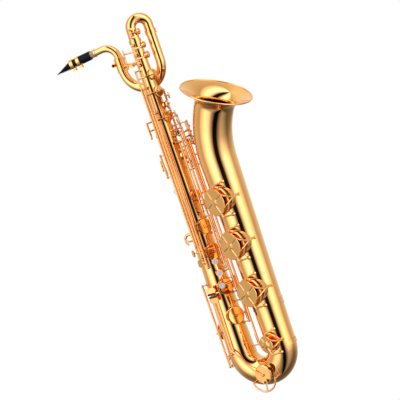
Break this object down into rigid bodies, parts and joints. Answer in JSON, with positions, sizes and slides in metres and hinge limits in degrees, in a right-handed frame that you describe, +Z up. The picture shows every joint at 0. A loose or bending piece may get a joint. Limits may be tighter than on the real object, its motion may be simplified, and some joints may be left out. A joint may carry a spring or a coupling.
{
  "type": "baritone saxophone",
  "caption": "Low-A baritone saxophone with looped upper crook, swivelling neck, hinged padded keys and guarded bell keys.",
  "frame": {"origin": "centre of the strap ring on the back of the body tube", "axes": "+Z up along the body tube, +X from the body tube towards the bell, +Y to the player's left"},
  "size_m": [0.5338, 0.1966, 1.0657],
  "materials": {
    "lacquered_brass": "polished, clear gold lacquer",
    "steel": "polished steel rod",
    "blued_steel": "blued spring steel",
    "felt": "dense felt",
    "cork": "sanded cork",
    "ebonite": "polished hard rubber",
    "cane": "smooth cane",
    "black_plastic": "gloss"
  },
  "bodies": {
    "root": {"bell": "lacquered_brass", "bell_brace": "lacquered_brass", "bell_key_guards": "lacquered_brass", "bell_rim": "lacquered_brass", "body_posts": "lacquered_brass", "body_tube": "lacquered_brass", "bow_ferrules": "lacquered_brass", "bow_key_guard": "lacquered_brass", "crook_brace": "lacquered_brass", "crook_ferrules": "lacquered_brass", "crook_tube": "lacquered_brass", "guard_bumpers": "felt", "hinge_rods": "steel", "lower_bow": "lacquered_brass", "lyre_socket": "lacquered_brass", "neck_receiver": "lacquered_brass", "needle_springs": "blued_steel", "strap_ring": "lacquered_brass", "thumb_hook": "lacquered_brass", "thumb_rest": "black_plastic", "top_bow": "lacquered_brass"},
    "neck": {"neck_tube": "lacquered_brass", "neck_cork": "cork", "neck_cork_ring": "lacquered_brass"},
    "mouthpiece_set": {"mouthpiece": "ebonite", "reed": "cane", "ligature": "lacquered_brass"},
    "ligature_screw_back": {"ligature_screw_back": "lacquered_brass"},
    "ligature_screw_front": {"ligature_screw_front": "lacquered_brass"},
    "receiver_clamp_screw": {"receiver_clamp_screw": "lacquered_brass"},
    "key_low_a": {"key_low_a": "lacquered_brass"},
    "key_low_b_flat": {"key_low_b_flat": "lacquered_brass"},
    "key_low_b": {"key_low_b": "lacquered_brass"},
    "key_low_c_sharp": {"key_low_c_sharp": "lacquered_brass"},
    "lever_low_c_sharp": {"lever_low_c_sharp": "lacquered_brass"},
    "key_g_sharp": {"key_g_sharp": "lacquered_brass"},
    "key_low_e_flat": {"key_low_e_flat": "lacquered_brass"},
    "key_low_c": {"key_low_c": "lacquered_brass"},
    "key_f_sharp": {"key_f_sharp": "lacquered_brass"},
    "key_f": {"key_f": "lacquered_brass"},
    "key_e": {"key_e": "lacquered_brass"},
    "key_d": {"key_d": "lacquered_brass"},
    "key_b": {"key_b": "lacquered_brass"},
    "key_a": {"key_a": "lacquered_brass"},
    "key_g": {"key_g": "lacquered_brass"},
    "key_high_e": {"key_high_e": "lacquered_brass"},
    "key_side_c": {"key_side_c": "lacquered_brass"},
    "key_side_b_flat": {"key_side_b_flat": "lacquered_brass"},
    "key_palm_d": {"key_palm_d": "lacquered_brass"},
    "key_palm_e_flat": {"key_palm_e_flat": "lacquered_brass"},
    "key_high_f": {"key_high_f": "lacquered_brass"},
    "octave_thumb_lever": {"octave_thumb_lever": "lacquered_brass"},
    "octave_vent": {"octave_vent": "lacquered_brass"},
    "low_a_thumb_lever": {"low_a_thumb_lever": "lacquered_brass"}
  },
  "joints": [
    {"name": "neck_swivel", "type": "hinge", "parent": "root", "child": "neck", "pos_m": [-0.054, 0.033, 0.386], "axis": [0, 0, 1], "range_deg": [-30, 30]},
    {"name": "mouthpiece_slide", "type": "slide", "parent": "neck", "child": "mouthpiece_set", "axis": [-0.9587, -0.2569, -0.1219], "range_m": [0, 0.012]},
    {"name": "ligature_screw_back_turn", "type": "hinge", "parent": "mouthpiece_set", "child": "ligature_screw_back", "pos_m": [-0.15835, 0.00504, 0.39704], "axis": [-0.2588, 0.9659, 0], "continuous": true},
    {"name": "ligature_screw_front_turn", "type": "hinge", "parent": "mouthpiece_set", "child": "ligature_screw_front", "pos_m": [-0.17752, -0.0001, 0.3946], "axis": [-0.2588, 0.9659, 0], "continuous": true},
    {"name": "receiver_clamp_screw_turn", "type": "hinge", "parent": "root", "child": "receiver_clamp_screw", "pos_m": [-0.0722, 0.033, 0.372], "axis": [0, 1, 0], "continuous": true},
    {"name": "key_low_a_hinge", "type": "hinge", "parent": "root", "child": "key_low_a", "pos_m": [0.079, -0.026, 0], "axis": [0, 0, 1], "range_deg": [0, 6], "stiffness_Nm_per_rad": 0.08, "springref_deg": -6.88},
    {"name": "key_low_b_flat_hinge", "type": "hinge", "parent": "root", "child": "key_low_b_flat", "pos_m": [0.085, -0.019, 0], "axis": [0, 0, 1], "range_deg": [0, 6], "stiffness_Nm_per_rad": 0.08, "springref_deg": -6.88},
    {"name": "key_low_b_hinge", "type": "hinge", "parent": "root", "child": "key_low_b", "pos_m": [0.091, -0.012, 0], "axis": [0, 0, 1], "range_deg": [0, 6], "stiffness_Nm_per_rad": 0.08, "springref_deg": -6.88},
    {"name": "key_low_c_sharp_hinge", "type": "hinge", "parent": "root", "child": "key_low_c_sharp", "pos_m": [0.097, -0.005, 0], "axis": [0, 0, 1], "range_deg": [-4, 0], "stiffness_Nm_per_rad": 0.08, "springref_deg": 6.88},
    {"name": "lever_low_c_sharp_hinge", "type": "hinge", "parent": "root", "child": "lever_low_c_sharp", "pos_m": [0.091, 0.022, 0], "axis": [0, 0, 1], "range_deg": [0, 4], "stiffness_Nm_per_rad": 0.08, "springref_deg": -6.88},
    {"name": "key_g_sharp_hinge", "type": "hinge", "parent": "root", "child": "key_g_sharp", "pos_m": [0.084, 0.008, 0], "axis": [0, 0, 1], "range_deg": [0, 8], "stiffness_Nm_per_rad": 0.08, "springref_deg": -6.88},
    {"name": "key_low_e_flat_hinge", "type": "hinge", "parent": "root", "child": "key_low_e_flat", "pos_m": [0.0033, -0.0329, 0], "axis": [0, 0, 1], "range_deg": [0, 7], "stiffness_Nm_per_rad": 0.08, "springref_deg": -6.88},
    {"name": "key_low_c_hinge", "type": "hinge", "parent": "root", "child": "key_low_c", "pos_m": [0.03, -0.046, 0], "axis": [0, 0, 1], "range_deg": [0, 6], "stiffness_Nm_per_rad": 0.08, "springref_deg": -6.88},
    {"name": "key_f_sharp_hinge", "type": "hinge", "parent": "root", "child": "key_f_sharp", "pos_m": [0.0768, 0.0075, 0], "axis": [0, 0, 1], "range_deg": [-7, 0], "stiffness_Nm_per_rad": 0.08, "springref_deg": 6.88},
    {"name": "key_f_hinge", "type": "hinge", "parent": "root", "child": "key_f", "pos_m": [0.0768, 0.0075, 0], "axis": [0, 0, 1], "range_deg": [-7, 0], "stiffness_Nm_per_rad": 0.08, "springref_deg": 6.88},
    {"name": "key_e_hinge", "type": "hinge", "parent": "root", "child": "key_e", "pos_m": [0.0768, 0.0075, 0], "axis": [0, 0, 1], "range_deg": [-7, 0], "stiffness_Nm_per_rad": 0.08, "springref_deg": 6.88},
    {"name": "key_d_hinge", "type": "hinge", "parent": "root", "child": "key_d", "pos_m": [0.086, 0.0018, 0], "axis": [0, 0, 1], "range_deg": [-7, 0], "stiffness_Nm_per_rad": 0.08, "springref_deg": 6.88},
    {"name": "key_b_hinge", "type": "hinge", "parent": "root", "child": "key_b", "pos_m": [0.0505, 0.0286, 0], "axis": [0, 0, 1], "range_deg": [-7, 0], "stiffness_Nm_per_rad": 0.08, "springref_deg": 6.88},
    {"name": "key_a_hinge", "type": "hinge", "parent": "root", "child": "key_a", "pos_m": [0.0505, 0.0286, 0], "axis": [0, 0, 1], "range_deg": [-7, 0], "stiffness_Nm_per_rad": 0.08, "springref_deg": 6.88},
    {"name": "key_g_hinge", "type": "hinge", "parent": "root", "child": "key_g", "pos_m": [0.0616, 0.0329, 0], "axis": [0, 0, 1], "range_deg": [-7, 0], "stiffness_Nm_per_rad": 0.08, "springref_deg": 6.88},
    {"name": "key_high_e_hinge", "type": "hinge", "parent": "root", "child": "key_high_e", "pos_m": [0.02631, -0.03619, 0], "axis": [0, 0, 1], "range_deg": [-9, 0], "stiffness_Nm_per_rad": 0.08, "springref_deg": 6.88},
    {"name": "key_side_c_hinge", "type": "hinge", "parent": "root", "child": "key_side_c", "pos_m": [0.034, -0.037, 0], "axis": [0, 0, 1], "range_deg": [-9, 0], "stiffness_Nm_per_rad": 0.08, "springref_deg": 6.88},
    {"name": "key_side_b_flat_hinge", "type": "hinge", "parent": "root", "child": "key_side_b_flat", "pos_m": [0.04169, -0.03619, 0], "axis": [0, 0, 1], "range_deg": [-9, 0], "stiffness_Nm_per_rad": 0.08, "springref_deg": 6.88},
    {"name": "key_palm_d_hinge", "type": "hinge", "parent": "root", "child": "key_palm_d", "pos_m": [0.0362, -0.0249, 0], "axis": [0, 0, 1], "range_deg": [-9, 0], "stiffness_Nm_per_rad": 0.08, "springref_deg": 6.88},
    {"name": "key_palm_e_flat_hinge", "type": "hinge", "parent": "root", "child": "key_palm_e_flat", "pos_m": [0.0362, -0.0249, 0], "axis": [0, 0, 1], "range_deg": [-9, 0], "stiffness_Nm_per_rad": 0.08, "springref_deg": 6.88},
    {"name": "key_high_f_hinge", "type": "hinge", "parent": "root", "child": "key_high_f", "pos_m": [0.044, -0.0255, 0], "axis": [0, 0, 1], "range_deg": [-9, 0], "stiffness_Nm_per_rad": 0.08, "springref_deg": 6.88},
    {"name": "octave_thumb_lever_hinge", "type": "hinge", "parent": "root", "child": "octave_thumb_lever", "pos_m": [0.004, 0.02, 0], "axis": [0, 0, 1], "range_deg": [0, 6], "stiffness_Nm_per_rad": 0.08, "springref_deg": -6.88},
    {"name": "octave_vent_hinge", "type": "hinge", "parent": "root", "child": "octave_vent", "pos_m": [0.007, 0.008, 0], "axis": [0, 0, 1], "range_deg": [0, 9], "stiffness_Nm_per_rad": 0.08, "springref_deg": -6.88},
    {"name": "low_a_thumb_lever_hinge", "type": "hinge", "parent": "root", "child": "low_a_thumb_lever", "pos_m": [-0.005, -0.006, 0], "axis": [0, 0, 1], "range_deg": [-6, 0], "stiffness_Nm_per_rad": 0.08, "springref_deg": 6.88}
  ],
  "couplings": [
    {"joint": "low_a_thumb_lever_hinge", "follows": "key_low_a_hinge", "ratio": -1},
    {"joint": "lever_low_c_sharp_hinge", "follows": "key_low_c_sharp_hinge", "ratio": -1},
    {"joint": "octave_thumb_lever_hinge", "follows": "octave_vent_hinge", "ratio": 0.666},
    {"joint": "key_f_sharp_hinge", "follows": "key_f_hinge", "ratio": 1}
  ]
}
